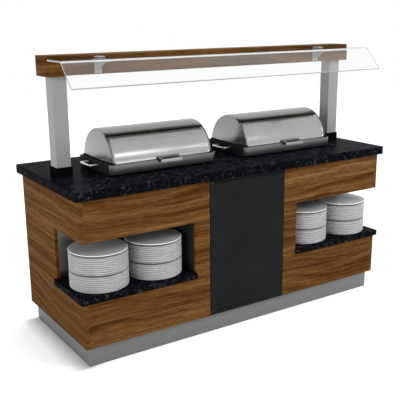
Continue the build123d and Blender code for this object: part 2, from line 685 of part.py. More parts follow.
parts = {
    "plinth_frame": plinth_frame(),
    "base_board": base_board(),
    "back_panel": back_panel(),
    "shelf_battens": shelf_battens(),
    "counter_board": counter_board(),
    "counter_top": counter_top(),
    "door_rails": door_rails(),
    "door": door(),
    "door_pivots": door_pivots(),
    "door_catch": door_catch(),
    "post_bearers": post_bearers(),
    "post_collars": post_collars(),
    "canopy_beam": canopy_beam(),
    "canopy_floor": canopy_floor(),
    "glass_guard": glass_guard(),
    "glass_pads": glass_pads(),
    "chafer_feet": both_sides(chafer_feet()),
    "cover_pivots": both_sides(cover_pivots()),
}
for name, side in SIDES.items():
    parts[f"{name}_end_panel"] = end_panel(side)
    parts[f"{name}_front_panel"] = front_panel(side)
    parts[f"{name}_partition"] = partition(side)
    parts[f"{name}_niche_back"] = niche_back(side)
    parts[f"{name}_niche_ceiling"] = niche_ceiling(side)
    parts[f"{name}_niche_shelf"] = niche_shelf(side)
    parts[f"{name}_post"] = post(side)
    parts[f"{name}_glass_bracket"] = glass_bracket(side)
    parts[f"{name}_chafer_base"] = at_side(side, chafer_base())
    parts[f"{name}_heater_plate"] = at_side(side, heater_plate())
    parts[f"{name}_food_pan"] = at_side(side, food_pan())
    parts[f"{name}_hood_gasket"] = at_side(side, hood_gasket())
    parts[f"{name}_hood"] = at_side(side, hood())
    parts[f"{name}_roll_cover"] = at_side(side, roll_cover())
    parts[f"{name}_cover_handle"] = at_side(side, cover_handle())
    parts[f"{name}_inner_plates"] = plates(side, -1)
    parts[f"{name}_outer_plates"] = plates(side, 1)

os.makedirs("parts", exist_ok=True)
for name, shape in parts.items():
    export_step(shape, f"parts/{name}.step")
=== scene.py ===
"""Looks of the chafing dish station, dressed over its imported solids.

Shapes are worked out in millimetres and become metres when a piece is made.
"""
import math

import bmesh
import bpy
import numpy as np
from mathutils import Matrix, Vector


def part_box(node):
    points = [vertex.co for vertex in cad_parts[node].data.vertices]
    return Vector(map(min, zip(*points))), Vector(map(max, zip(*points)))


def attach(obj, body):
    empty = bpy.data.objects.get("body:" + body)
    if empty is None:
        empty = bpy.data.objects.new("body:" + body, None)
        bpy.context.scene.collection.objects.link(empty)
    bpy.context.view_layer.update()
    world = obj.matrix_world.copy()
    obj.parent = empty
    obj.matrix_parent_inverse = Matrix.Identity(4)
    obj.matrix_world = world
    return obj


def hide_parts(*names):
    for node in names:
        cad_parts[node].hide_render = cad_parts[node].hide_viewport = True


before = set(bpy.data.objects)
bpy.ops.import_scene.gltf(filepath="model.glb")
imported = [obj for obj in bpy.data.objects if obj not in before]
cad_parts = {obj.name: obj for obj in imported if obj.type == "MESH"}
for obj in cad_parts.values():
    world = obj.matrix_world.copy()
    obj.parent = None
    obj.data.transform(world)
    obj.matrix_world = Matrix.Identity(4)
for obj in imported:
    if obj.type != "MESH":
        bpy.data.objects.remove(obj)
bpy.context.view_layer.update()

MM = 0.001
SIDES = ("left", "right")

# Surfaces: points this close are joined, so that a ring of this radius closes to one point
POINT = 0.01
LINE_STEPS = 6
CORNER_STEPS = 8

# Camera, at the photograph's viewing angle
CAMERA_TARGET = (-45.7, 29.8, 632.5)
CAMERA_DISTANCE = 4086
CAMERA_AZIMUTH = -33.18
CAMERA_ELEVATION = 14.758
CAMERA_ROLL = -0.541
CAMERA_LENS = 63.1

# Studio
FLOOR_HALF = 9000
FLOOR_ALBEDO = 0.8
FLOOR_GLOW = 0.45
# Painted shadow on the floor: a darker strip along the plinth's left end, cast by no lamp
SHADE_EDGE = (-950, 350)
SHADE_REACH = 105
SHADE_SOFT = 30
SHADE_DEPTH = 0.6
WORLD_LIGHT = 0.50
SUN_TOWARDS = (0.24, 0.06, 0.97)
SUN_SPREAD = 32
SUN_LEVEL = 0.50
AIM = (0, 0, 700)

# Soft boxes: place, size, light at the aim point, and whether polished metal shows them
LAMPS = {
    "left_lamp": ((-8400, -3000, 2300), 5200, 0.38, False),
    "front_lamp": ((2600, -4000, 3600), 2600, 0.45, False),
    "left_dish_lamp": ((860, -2780, 2420), 520, 0.028, True),
    "right_dish_lamp": ((1990, -2780, 2360), 150, 0.012, True),
}

# Chafing dishes
HOOD_RADIUS = 180
HOOD_EDGE = 10
HOOD_WALL = 1.5
HOOD_DOME = 7
HOOD_RIM = 10
LIP_ANGLE = 60
COVER_RADIUS = 171
COVER_WALL = 1.5
COVER_LIFT = 1
COVER_HIGH = 68
COVER_CORNER = 16
HEM_HEIGHT = 3
HEM_WIDTH = 10
HEM_STEPS = (0, 1, 2.5, 4, 5.5, 7, 8, 9, 10, 11, 12, 13, 14.5, 16)
CHEEK_INSET = 7.9
CHEEK_DEPTH = 30
ARM_WIDTH = 24
PIN_HOLE = 4.05
HANDLE_PLATE = 4
HANDLE_FALL = 12
HANDLE_BEND = 5
HANDLE_CORNER = 8
HANDLE_SLOT = (100, 15)
HANDLE_EDGE = 0.8
BASE_HALF = (322, 195)
BASE_CORNER = 35
BASE_WALL = 2
BASE_LOW_ROUND = 8
BASE_TOP_ROUND = 1.5
BASE_MOUTH = (256, 153.5, 20)
# Tray end walls within these bounds take a near-black finish: painted shade
BASE_PAINTED_SHADE_FROM = 300
BASE_PAINTED_SHADE_HALF = 174
SLOT_X = (277.5, 284.5)
SLOT_REACH = 47
GRIP_WIDTH = 126
GRIP_BAR = 14
GRIP_THICKNESS = 10
GRIP_DROP = 11
GRIP_CORNER = 20
SEAL_HALF = (8, 3.5)
SEAL_PROUD = 5
SEAL_CORNER = 18
PAN_WALL = 2
PAN_BODY = (254, 151.5, 18)
PAN_TAPER = 6
PAN_FLOOR_ROUND = 14

# Plates
PLATE_COUNT = 18
PLATE_LIP = 8.4
PLATE_UNDERCUT = 6
PLATE_CLEAR = 0.3
PLATE_BREAK = 8
BREAK_LIP = 4
BREAK_UNDERCUT = 45
BREAK_DROP = 3
BREAK_HOLLOW = 10
TOP_DROP = 4
TOP_LIP = 4.4
TOP_SEAT = 0.2
TOP_FLARE = 0.1
TOP_STEP = 1
TOP_WELL = 9
WELL_FROM = 0.98
RIM_COVER = 0.4
PLATE_FOOT = 0.62
PLATE_SHIFT = 0.8
PLATE_DRAW = 0.7
PLATE_SEEDS = {"left": 5, "right": 15}
PLATE_SPOKES = 96

# Glass guard
GLASS_THICKNESS = 8
GLASS_BEND_RADIUS = 28
GLASS_SLOPE = (106, 115)
GLASS_ARRIS = 1
GLASS_SHARP = 20

# Screws
SCREW_RADIUS = 5
SCREW_HEIGHT = 3
SCREW_SIDE = 0.25
SCREW_SOCKET = 2.4
SCREW_LAND = 1.3
SCREW_FLOOR = 0.4
SCREW_BACK = (20, 42)


# Surfaces from grids of points

def grid(points, close_rows=False, close_columns=False, keep=None):
    """Four-cornered cells between neighbouring points of a grid.

    A closed direction joins its last line to its first.
    """
    rows, columns = points.shape[:2]
    row = np.arange(rows if close_rows else rows - 1)
    column = np.arange(columns if close_columns else columns - 1)
    r, c = np.meshgrid(row, column, indexing="ij")
    r_next = (r + 1) % rows
    c_next = (c + 1) % columns
    here = r * columns
    there = r_next * columns
    cells = np.stack([here + c, here + c_next, there + c_next, there + c], -1)
    if keep is not None:
        cells = cells[keep]
    return points.reshape(-1, 3), cells.reshape(-1, 4)


def join(*shapes):
    """One surface out of several: each one's cells count on from the points before it."""
    starts = np.cumsum([0] + [len(points) for points, _ in shapes[:-1]])
    points = np.concatenate([points for points, _ in shapes])
    cells = np.concatenate([cells + start for (_, cells), start in zip(shapes, starts)])
    return points, cells


def moved(shape, offset):
    """A surface carried along by an offset."""
    points, cells = shape
    return points + np.asarray(offset, float), cells


def rounded_outline(half_x, half_y, corner, stops):
    """Closed outline of a rectangle with round corners: four quarter turns about the corner centres.

    Each stop adds a point on both long ends, at that distance from the middle.
    """
    turn = np.linspace(0, np.pi / 2, CORNER_STEPS + 1)
    side_x = np.array([1, -1, -1, 1])
    side_y = np.array([1, 1, -1, -1])
    angle = np.arange(4)[:, None] * np.pi / 2 + turn
    x = (side_x * (half_x - corner))[:, None] + corner * np.cos(angle)
    y = (side_y * (half_y - corner))[:, None] + corner * np.sin(angle)
    stop = np.array(sorted(stops))
    left = np.stack([np.full(len(stop), -half_x), stop[::-1]], -1)
    right = np.stack([np.full(len(stop), half_x), stop], -1)
    corners = np.stack([x, y], -1)
    return np.concatenate([corners[0], corners[1], left, corners[2], corners[3], right])


def loft(sections, centre, stops=()):
    """Grid through round-cornered rectangles, each as half length, half width, corner and height."""
    rings = []
    for half_x, half_y, corner, z in sections:
        outline = rounded_outline(half_x, half_y, corner, stops) + np.asarray(centre[:2])
        rings.append(np.column_stack([outline, np.full(len(outline), z)]))
    return np.stack(rings)


def middle_point(z):
    """Section for a loft that closes to one point."""
    return POINT, POINT, POINT / 2, z


def lathe(profile, centre, spokes, shift, close_rows=False):
    """Surface of a profile of radius and height turned about an upright axis; shift moves rings sideways."""
    angle = np.linspace(0, 2 * np.pi, spokes, endpoint=False)
    radius = profile[:, :1]
    x = radius * np.cos(angle) + centre[0] + shift[:, :1]
    y = radius * np.sin(angle) + centre[1] + shift[:, 1:]
    z = np.broadcast_to(profile[:, 1:] + centre[2], x.shape)
    return grid(np.stack([x, y, z], -1), close_rows=close_rows, close_columns=True)


def sweep(path, section):
    """Grid of a closed section carried along a level path.

    The section's first number lies across the path, and its second is height.
    """
    along = np.gradient(path, axis=0)
    along /= np.linalg.norm(along, axis=1, keepdims=True)
    across = np.stack([along[:, 1], -along[:, 0], np.zeros(len(path))], -1)
    lift = np.array([0, 0, 1])
    return path[:, None] + across[:, None] * section[None, :, :1] + lift * section[None, :, 1:]


def round_bar(half_width, half_height, power=0.5):
    """Closed section between an ellipse and a rectangle: cosine and sine, each drawn out by a power."""
    angle = np.linspace(0, 2 * np.pi, 20, endpoint=False)
    wave = np.stack([np.cos(angle), np.sin(angle)], -1)
    return np.sign(wave) * np.abs(wave) ** power * (half_width, half_height)


def bent(start, corner, end, radius, steps=9):
    """Points of a line that turns once: straight to the corner, round it in an arc and on to its end."""
    start, corner, end = (np.asarray(point, float) for point in (start, corner, end))
    before = (corner - start) / np.linalg.norm(corner - start)
    after = (end - corner) / np.linalg.norm(end - corner)
    turn = math.acos(before @ after)
    inward = (after - before * math.cos(turn)) / math.sin(turn)
    centre = corner - before * radius * math.tan(turn / 2) + inward * radius
    angle = np.linspace(0, turn, steps)[:, None]
    arc = centre + radius * (before * np.sin(angle) - inward * np.cos(angle))
    share = np.linspace(0, 1, LINE_STEPS + 1)[:, None]
    first = start + (arc[0] - start) * share[:-1]
    last = arc[-1] + (end - arc[-1]) * share[1:]
    return np.concatenate([first, arc, last])


def upright_walls(x, y, z):
    """Four upright walls round a rectangle."""
    ring = np.array([(x[0], y[0]), (x[1], y[0]), (x[1], y[1]), (x[0], y[1])])
    rings = np.stack([np.column_stack([ring, np.full(4, level)]) for level in z])
    return grid(rings, close_columns=True)


def box_mm(node):
    """Lowest and highest corner of a CAD node, in millimetres."""
    low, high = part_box(node)
    return np.array(low) / MM, np.array(high) / MM


# Pieces

def weld(mesh):
    """Joins points that coincide, drops cells that closed up, and turns the faces outward."""
    work = bmesh.new()
    work.from_mesh(mesh)
    bmesh.ops.remove_doubles(work, verts=work.verts, dist=POINT * MM)
    bmesh.ops.dissolve_degenerate(work, edges=work.edges, dist=POINT * MM)
    bmesh.ops.recalc_face_normals(work, faces=work.faces)
    work.to_mesh(mesh)
    work.free()


def settle(piece):
    """Puts the modifiers' result into the mesh itself."""
    graph = bpy.context.evaluated_depsgraph_get()
    piece.data = bpy.data.meshes.new_from_object(piece.evaluated_get(graph))
    piece.modifiers.clear()


def make_piece(name, shape, finishes, body, replaces=(), wall=0, wall_offset=-1, rim=0, edge=0,
               sharp=35):
    """Object from a surface: welded, given its wall and softened edges, smooth but for edges over an angle.

    A wall's far side takes the last finish, or the first one if its rim has a finish of its own.
    """
    points, cells = shape
    mesh = bpy.data.meshes.new(name)
    mesh.from_pydata((points * MM).tolist(), [], cells.tolist())
    weld(mesh)
    piece = bpy.data.objects.new(name, mesh)
    bpy.context.scene.collection.objects.link(piece)
    for finish in finishes:
        mesh.materials.append(finish)
    if wall:
        sheet = piece.modifiers.new("wall", "SOLIDIFY")
        sheet.thickness = wall * MM
        sheet.offset = wall_offset
        sheet.use_even_offset = True
        sheet.material_offset = 0 if rim else len(finishes) - 1
        sheet.material_offset_rim = rim
    if edge:
        soft = piece.modifiers.new("edge", "BEVEL")
        soft.width = edge * MM
        soft.segments = 2
        soft.limit_method = "ANGLE"
        soft.angle_limit = math.radians(sharp)
    if wall or edge:
        bpy.context.view_layer.update()
        settle(piece)
    piece.data.shade_smooth()
    piece.data.set_sharp_from_angle(angle=math.radians(sharp))
    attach(piece, body)
    for node in replaces:
        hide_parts(node)
    return piece


def paint_shade_on_tray_ends(piece, middle):
    """Gives a tray's second, near-black finish to the cells of its left and right ends, between the round
    corners: painted shade on the end walls.
    """
    cells = piece.data.polygons
    centres = np.empty(3 * len(cells), np.float32)
    cells.foreach_get("center", centres)
    away = np.abs(centres.reshape(-1, 3) / MM - middle)
    dark = (away[:, 0] > BASE_PAINTED_SHADE_FROM) & (away[:, 1] < BASE_PAINTED_SHADE_HALF)
    cells.foreach_set("material_index", dark.astype(np.int32))


# Materials

def add_node(tree, kind, inputs=None, **settings):
    """New node in a tree; an input given as a socket is linked, any other is set."""
    node = tree.nodes.new(kind)
    for key, value in settings.items():
        setattr(node, key, value)
    for key, value in (inputs or {}).items():
        if isinstance(value, bpy.types.NodeSocket):
            tree.links.new(value, node.inputs[key])
        else:
            node.inputs[key].default_value = value
    return node


class Finish:
    """A node material while it is put together: its shader and short ways to add textures to it."""

    def __init__(self, name, values):
        self.material = bpy.data.materials.new(name)
        self.material.use_nodes = True
        self.tree = self.material.node_tree
        self.shader = self.tree.nodes["Principled BSDF"]
        for socket, value in values.items():
            self.shader.inputs[socket].default_value = value

    def node(self, kind, inputs=None, **settings):
        """New node in the material's own tree."""
        return add_node(self.tree, kind, inputs, **settings)

    def place(self, scale, offset=(0, 0, 0)):
        """Place on the object in metres, stretched by a scale for each axis."""
        where = self.node("ShaderNodeTexCoord").outputs["Object"]
        mapping = {"Vector": where, "Scale": scale, "Location": offset}
        return self.node("ShaderNodeMapping", mapping).outputs["Vector"]

    def noise(self, vector, scale=1, detail=4, roughness=0.5):
        """Cloudy share between 0 and 1."""
        inputs = {"Vector": vector, "Scale": scale, "Detail": detail, "Roughness": roughness}
        return self.node("ShaderNodeTexNoise", inputs).outputs["Fac"]

    def crystals(self, vector, scale):
        """A random colour for each crystal of a cracked pattern."""
        return self.node("ShaderNodeTexVoronoi", {"Vector": vector, "Scale": scale}).outputs["Color"]

    def ramp(self, share, stops):
        """Colour along a scale of stops, each a share and a colour."""
        node = self.node("ShaderNodeValToRGB", {"Fac": share})
        scale = node.color_ramp.elements
        while len(scale) < len(stops):
            scale.new(1)
        for element, (position, colour) in zip(scale, stops):
            element.position = position
            element.color = (*colour, 1)
        return node.outputs["Color"]

    def blend(self, first, second, kind):
        """Joins two colours in full; a mix node takes them as its inputs 6 and 7 and gives its output 2."""
        inputs = {0: 1, 6: first, 7: second}
        return self.node("ShaderNodeMix", inputs, data_type="RGBA", blend_type=kind).outputs[2]

    def span(self, share, low, high):
        """Carries a share from 0 to 1 onto a range."""
        inputs = {"Value": share, "To Min": low, "To Max": high}
        return self.node("ShaderNodeMapRange", inputs).outputs["Result"]

    def add(self, first, second):
        """Sum of two places."""
        return self.node("ShaderNodeVectorMath", {0: first, 1: second}).outputs["Vector"]

    def feed(self, socket, output):
        """Links a node's output to an input of the shader."""
        self.tree.links.new(output, self.shader.inputs[socket])

    def bump(self, height, depth):
        """Raises the surface by a share of the depth, in millimetres."""
        inputs = {"Height": height, "Strength": 1, "Distance": depth * MM}
        self.feed("Normal", self.node("ShaderNodeBump", inputs).outputs["Normal"])


def grey(value):
    """Colour with three equal parts."""
    return (value, value, value)


def cloudy(colour, contrast):
    """Stops of a ramp from a darker to a paler form of a colour."""
    dark = tuple(value * (1 - contrast) for value in colour)
    pale = tuple(value * (1 + contrast) for value in colour)
    return [(0.3, dark), (0.7, pale)]


def wood(name, offset):
    """Brown wood-grain laminate: level bands and fine dark lines, drawn out along the panel and waved."""
    finish = Finish(name, {"Specular IOR Level": 0.006})
    wave = finish.noise(finish.place((0.9, 0.9, 2.2), offset), detail=2)
    lift = finish.node("ShaderNodeCombineXYZ", {"Z": finish.span(wave, -3.4, 3.4)}).outputs["Vector"]
    bands = finish.noise(finish.add(finish.place((0.7, 0.7, 27), offset), lift), detail=5, roughness=0.6)
    lines = finish.noise(finish.add(finish.place((1.8, 1.8, 105), offset), lift), detail=3, roughness=0.6)
    pores = finish.noise(finish.place((24, 24, 230), offset), detail=2)
    tone = finish.ramp(bands, [
        (0.30, (0.066, 0.026, 0.006)),
        (0.45, (0.115, 0.049, 0.012)),
        (0.58, (0.165, 0.078, 0.023)),
        (0.72, (0.235, 0.125, 0.045)),
    ])
    streak = finish.ramp(lines, [(0.34, grey(0.55)), (0.50, grey(0.96)), (0.70, grey(1.12))])
    tone = finish.blend(tone, streak, "MULTIPLY")
    speck = finish.ramp(pores, [(0.32, grey(0.66)), (0.50, grey(0.97)), (0.68, grey(1.2))])
    finish.feed("Base Color", finish.blend(tone, speck, "MULTIPLY"))
    finish.feed("Roughness", finish.span(lines, 0.55, 0.4))
    finish.bump(lines, 0.05)
    return finish.material


def granite(name):
    """Black granite: crystals of random brightness, a few of them blue-grey or pale, under a dull polish."""
    finish = Finish(name, {"Specular IOR Level": 0.0015})
    where = finish.place((1, 1, 1))
    drift = finish.node("ShaderNodeTexNoise", {"Vector": where, "Scale": 140, "Detail": 2}).outputs["Color"]
    where = finish.add(where, finish.blend(drift, (0.011, 0.011, 0.011, 1), "MULTIPLY"))
    large = finish.ramp(finish.crystals(where, 70), [
        (0.50, (0.0032, 0.0032, 0.0042)),
        (0.70, (0.007, 0.007, 0.010)),
        (0.86, (0.018, 0.019, 0.027)),
        (0.97, (0.046, 0.048, 0.062)),
    ])
    small = finish.ramp(finish.crystals(where, 200), [(0.78, grey(0.0)), (0.96, (0.020, 0.021, 0.027))])
    finish.feed("Base Color", finish.blend(large, small, "ADD"))
    finish.feed("Roughness", finish.span(finish.noise(where, 60), 0.22, 0.36))
    return finish.material


def brushed(name, colour, stretch, metallic=1, rough=(0.32, 0.46), contrast=0.08):
    """Brushed sheet metal: fine lines drawn out along one direction shift its shade and its roughness."""
    finish = Finish(name, {"Metallic": metallic})
    hair = finish.noise(finish.place(stretch), detail=3, roughness=0.7)
    finish.feed("Base Color", finish.ramp(hair, cloudy(colour, contrast)))
    finish.feed("Roughness", finish.span(hair, *rough))
    finish.bump(hair, 0.01)
    return finish.material


def polished(name, colour, rough):
    """Polished stainless steel with the faint cloudiness of wiping."""
    finish = Finish(name, {"Metallic": 1})
    cloud = finish.noise(finish.place((9, 9, 9)), detail=5, roughness=0.65)
    finish.feed("Base Color", finish.ramp(cloud, cloudy(colour, 0.04)))
    finish.feed("Roughness", finish.span(cloud, rough * 0.8, rough * 1.2))
    return finish.material


def matt(name, colour, rough, grain=420, depth=0.04, contrast=0.12, level=0.03):
    """Matt laminate, plastic or rubber: a fine pebbled grain shifts its shade and its roughness."""
    finish = Finish(name, {"Specular IOR Level": level})
    pebble = finish.noise(finish.place((grain, grain, grain)), detail=3)
    cloud = finish.noise(finish.place((5, 5, 5)), detail=3)
    tone = finish.ramp(cloud, cloudy(colour, contrast))
    speck = finish.ramp(pebble, cloudy(grey(1), 0.1))
    finish.feed("Base Color", finish.blend(tone, speck, "MULTIPLY"))
    finish.feed("Roughness", finish.span(pebble, rough - 0.06, rough + 0.06))
    finish.bump(pebble, depth)
    return finish.material


def chipboard(name):
    """Raw board inside the carcass: pressed chips of several browns."""
    finish = Finish(name, {"Roughness": 0.75, "Specular IOR Level": 0.2})
    chips = finish.crystals(finish.place((170, 170, 320)), 1)
    finish.feed("Base Color", finish.ramp(chips, [
        (0.0, (0.26, 0.17, 0.09)),
        (0.5, (0.38, 0.27, 0.16)),
        (1.0, (0.52, 0.40, 0.26)),
    ]))
    finish.bump(finish.noise(finish.place((400, 400, 400))), 0.1)
    return finish.material


def china(name, level, streak_contrast):
    """White glazed china in soft shade: a faint cloud under the glaze and thin level streaks, darker and
    paler.
    """
    finish = Finish(name, {"Specular IOR Level": 0.1})
    cloud = finish.noise(finish.place((18, 18, 18)), detail=3)
    trace = finish.noise(finish.place((22, 22, 420)), detail=3, roughness=0.6)
    tone = finish.ramp(cloud, cloudy(grey(level), 0.02))
    line = finish.ramp(trace, [(0.35, grey(0.97 - streak_contrast)), (0.65, grey(0.97 + streak_contrast))])
    finish.feed("Base Color", finish.blend(tone, line, "MULTIPLY"))
    finish.feed("Roughness", finish.span(cloud, 0.28, 0.36))
    return finish.material


def clear_glass(name):
    """Clear float glass, a trace green; lamps shine through it and streaks of cleaning show in its gloss."""
    finish = Finish(name, {"Base Color": (0.955, 0.98, 0.97, 1), "Transmission Weight": 1, "IOR": 1.6})
    streak = finish.noise(finish.place((3, 40, 40)), detail=3)
    finish.feed("Roughness", finish.span(streak, 0.0, 0.03))
    through = finish.node("ShaderNodeBsdfTransparent", {"Color": (0.93, 0.95, 0.94, 1)})
    shadow = finish.node("ShaderNodeLightPath").outputs["Is Shadow Ray"]
    ends = {0: shadow, 1: finish.shader.outputs["BSDF"], 2: through.outputs["BSDF"]}
    mix = finish.node("ShaderNodeMixShader", ends)
    finish.tree.links.new(mix.outputs["Shader"], finish.tree.nodes["Material Output"].inputs["Surface"])
    return finish.material


# Chafing dish shapes

def hood_shape(axis, half_length, floor):
    """Half barrel about the roll axis with bulging D-shaped ends.

    An end's bulge falls with the square of the radius, and a quarter circle joins the end to the barrel.
    Round the axis the angle runs from the floor line in front to the floor line behind. The front is open
    below the lip angle.
    """
    edge_radius = HOOD_RADIUS - HOOD_EDGE
    rim_turn = math.acos(1 - (HOOD_RIM - HOOD_DOME) / HOOD_EDGE)
    turn = np.concatenate([np.linspace(0, rim_turn, 5), np.linspace(rim_turn, np.pi / 2, 5)[1:]])
    fill = np.linspace(0, 1, 9)[:-1]
    flat = np.zeros(len(fill))
    end_along = half_length - HOOD_DOME - np.concatenate([flat, HOOD_EDGE * (1 - np.cos(turn))])
    end_radius = edge_radius + np.concatenate([flat, HOOD_EDGE * np.sin(turn)])
    end_fill = np.concatenate([fill, np.ones(len(turn))])
    barrel = np.linspace(-end_along[-1], end_along[-1], 13)[1:-1]
    along = np.concatenate([-end_along, barrel, end_along[::-1]])
    radius = np.concatenate([end_radius, np.full(len(barrel), HOOD_RADIUS), end_radius[::-1]])[:, None]
    filled = np.concatenate([end_fill, np.ones(len(barrel)), end_fill[::-1]])[:, None]
    front = np.linspace(0, 1, 21)
    rear = np.linspace(0, 1, 43)[1:]
    low = np.arcsin((floor - axis[2]) / radius)
    lip = math.radians(LIP_ANGLE)
    angle = np.concatenate([low + (lip - low) * front, lip + (np.pi - low - lip) * rear], axis=1)
    y = axis[1] - radius * np.cos(angle)
    z = floor + filled * (axis[2] + radius * np.sin(angle) - floor)
    share = ((y - axis[1]) ** 2 + (z - axis[2]) ** 2) / edge_radius**2
    bulge = HOOD_DOME * np.clip(1 - share, 0, 1)
    x = axis[0] + along[:, None] + np.sign(along)[:, None] * bulge
    middle = (along[1:] + along[:-1]) / 2
    keep = np.ones((len(along) - 1, len(front) + len(rear) - 1), bool)
    keep[np.abs(middle) < half_length - HOOD_RIM, :len(front) - 1] = False
    return grid(np.stack([x, y, z], -1), keep=keep)


def cover_sheet(axis, half_length, floor):
    """Middle face of the curved sheet about the roll axis, with round lower corners and a flared hem.

    On the unrolled sheet the hem's height falls evenly with the distance from the outline.
    """
    middle_radius = COVER_RADIUS - COVER_WALL / 2
    low = math.asin((floor - axis[2]) / middle_radius)
    arc = (math.radians(COVER_HIGH) - low) * middle_radius
    steps = np.array(HEM_STEPS)
    inner = np.linspace(steps[-1], 2 * half_length - steps[-1], 15)[1:-1]
    across = np.concatenate([steps, inner, 2 * half_length - steps[::-1]])
    climb = np.concatenate([steps, np.linspace(steps[-1], arc - steps[-1], 41)[1:-1], arc - steps[::-1]])
    from_end = np.minimum(across, 2 * half_length - across)[:, None]
    past = np.clip(COVER_CORNER - from_end, 0, COVER_CORNER)
    start = COVER_CORNER - np.sqrt(COVER_CORNER**2 - past**2)
    height = start + (arc - start) * climb / arc
    straight = np.minimum(np.minimum(from_end, height), arc - height)
    rounded = COVER_CORNER - np.hypot(COVER_CORNER - from_end, COVER_CORNER - height)
    inset = np.where((from_end < COVER_CORNER) & (height < COVER_CORNER), rounded, straight)
    radius = middle_radius + HEM_HEIGHT * np.clip(1 - inset / HEM_WIDTH, 0, 1)
    angle = low + height / middle_radius
    y = axis[1] - radius * np.cos(angle)
    z = axis[2] + radius * np.sin(angle)
    x = np.broadcast_to(axis[0] - half_length + across[:, None], y.shape)
    return grid(np.stack([x, y, z], -1))


def cover_cheek(axis, x, floor):
    """Flat upright strip inside the sheet's end: a sector between two radii about the roll axis."""
    radius = np.linspace(COVER_RADIUS - CHEEK_DEPTH, COVER_RADIUS - COVER_WALL, 3)[:, None]
    low = np.arcsin((floor - axis[2]) / radius)
    share = np.linspace(0, 1, 33)
    angle = low + (math.radians(COVER_HIGH) - low) * share
    y = axis[1] - radius * np.cos(angle)
    z = axis[2] + radius * np.sin(angle)
    return grid(np.stack([np.full(y.shape, x), y, z], -1))


def cover_arm(axis, x, middle):
    """Flat strap from the cheek to the roll axis, drawn in polar steps about the pin hole.

    Its outline is a half circle behind the pin and a straight-sided bar in front of it.
    """
    reach = COVER_RADIUS - CHEEK_DEPTH
    half = ARM_WIDTH / 2
    tip = math.atan2(half, reach)
    bar = np.concatenate([np.linspace(-tip, tip, 5), np.linspace(tip, np.pi / 2, 9)[1:]])
    angle = np.concatenate([bar, np.linspace(np.pi / 2, 3 * np.pi / 2, 17)[1:], 2 * np.pi - bar[:4:-1]])[:-1]
    ahead = np.cos(angle) > 1e-9
    side = half / np.maximum(np.abs(np.sin(angle)), 1e-6)
    front = np.minimum(reach / np.where(ahead, np.cos(angle), 1), side)
    radius = np.where(ahead, front, half)
    share = np.linspace(0, 1, 4)[:, None]
    distance = PIN_HOLE + (radius - PIN_HOLE) * share
    turned = angle + middle
    y = axis[1] - distance * np.cos(turned)
    z = axis[2] + distance * np.sin(turned)
    return grid(np.stack([np.full(y.shape, x), y, z], -1), close_columns=True)


def cover_shape(axis, half_length, floor):
    """Curved sheet with a cheek and an arm inside each end."""
    low = math.asin((floor - axis[2]) / COVER_RADIUS)
    middle = (low + math.radians(COVER_HIGH)) / 2
    shapes = [cover_sheet(axis, half_length, floor)]
    for side in (-1, 1):
        x = axis[0] + side * (half_length - CHEEK_INSET - COVER_WALL / 2)
        shapes += [cover_cheek(axis, x, floor), cover_arm(axis, x, middle)]
    return join(*shapes)


def handle_shape(low, high):
    """Bent strip: a slope from the cover down to a round bend, then an upright lip with round free corners.

    Cells in the middle of the slope are left out as the finger slot.
    """
    half = (high[0] - low[0]) / 2
    front = low[1] + HANDLE_PLATE / 2
    top = high[2] - HANDLE_PLATE / 2
    path = bent((high[1], top), (front, top - HANDLE_FALL), (front, low[2]), HANDLE_BEND)
    slot_x, slot_y = HANDLE_SLOT
    slot_front = low[1] + 2 * HANDLE_PLATE
    stops = np.linspace(slot_front, slot_front + slot_y, 4)
    slope = high[1] + (path[LINE_STEPS] - path[0])[0] * np.linspace(0, 1, 4)
    y = np.sort(np.concatenate([slope, stops]))[::-1]
    z = top - HANDLE_FALL * (high[1] - y) / (high[1] - front)
    path = np.concatenate([np.column_stack([y, z]), path[LINE_STEPS + 1:]])
    corner = np.linspace(0, np.pi / 2, 7)
    rim = half - HANDLE_CORNER * (1 - np.sin(corner))
    x = np.concatenate([-rim[::-1], np.linspace(-slot_x / 2, slot_x / 2, 13), rim])
    past = np.clip(np.abs(x) - (half - HANDLE_CORNER), 0, HANDLE_CORNER)[:, None]
    shorter = HANDLE_CORNER - np.sqrt(HANDLE_CORNER**2 - past**2)
    bend_end = top - HANDLE_FALL - HANDLE_BEND
    share = np.clip((bend_end - path[:, 1]) / (bend_end - low[2]), 0, 1)
    z = path[:, 1] + shorter * share
    points = np.stack(np.broadcast_arrays((low[0] + high[0]) / 2 + x[:, None], path[:, 0], z), -1)
    middle_x = (x[1:] + x[:-1]) / 2
    middle_y = (path[1:, 0] + path[:-1, 0]) / 2
    in_slot = (middle_y > slot_front) & (middle_y < slot_front + slot_y)
    keep = ~((np.abs(middle_x) < slot_x / 2)[:, None] & in_slot[None, :])
    return grid(points, keep=keep)


